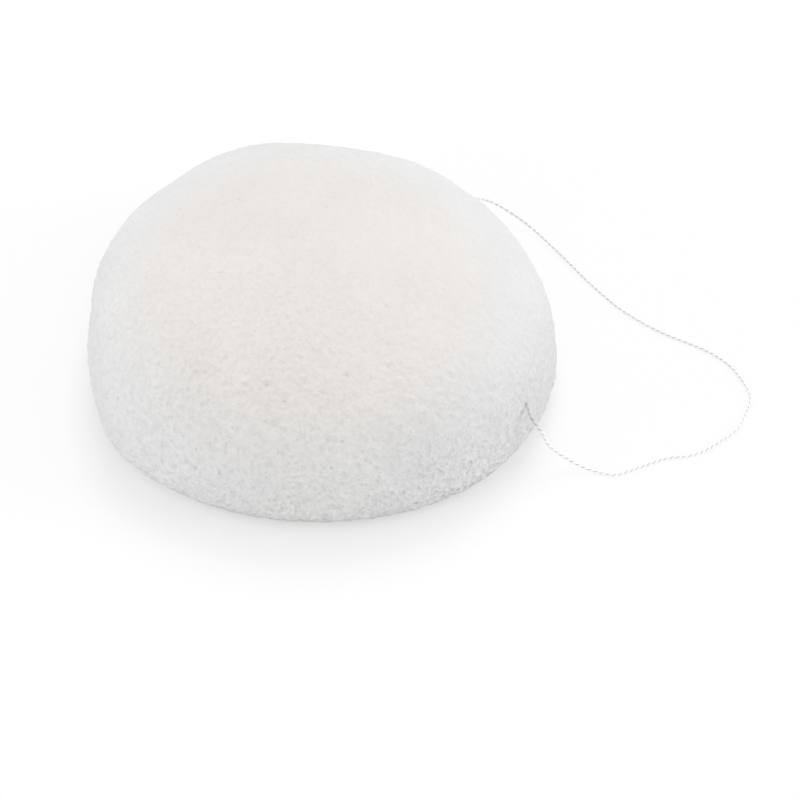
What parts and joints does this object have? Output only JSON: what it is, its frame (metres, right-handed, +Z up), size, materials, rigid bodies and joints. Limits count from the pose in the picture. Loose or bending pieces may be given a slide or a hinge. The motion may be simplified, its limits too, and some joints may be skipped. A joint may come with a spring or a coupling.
{
  "type": "konjac sponge",
  "caption": "Half-ball face sponge of soft konjac foam, flat underneath, with a loop of thin twisted cotton string threaded near its rim to hang it up to dry.",
  "frame": {"origin": "centre of the foam's bounding box, on the flat face that it rests on", "axes": "+Z up out of the resting face, +X towards the string's loop, +Y away from the picture's camera"},
  "size_m": [0.1127, 0.0798, 0.031],
  "materials": {
    "konjac_foam": "matt, fine open-pored plant foam, bone dry on the outside",
    "cotton_string": "matt, undyed two-ply twisted cotton with loose fibres"
  },
  "bodies": {
    "sponge": {"sponge_body": "konjac_foam"},
    "string": {"string_loop": "cotton_string", "string_run_front": "cotton_string", "string_run_back": "cotton_string", "knot_bight_front": "cotton_string", "knot_bight_back": "cotton_string"}
  },
  "joints": [
    {"name": "loop_swing", "type": "hinge", "parent": "sponge", "child": "string", "pos_m": [0.03397, -0.01751, 0.0095], "axis": [0.1908, -0.9816, 0], "range_deg": [0, 135]}
  ]
}
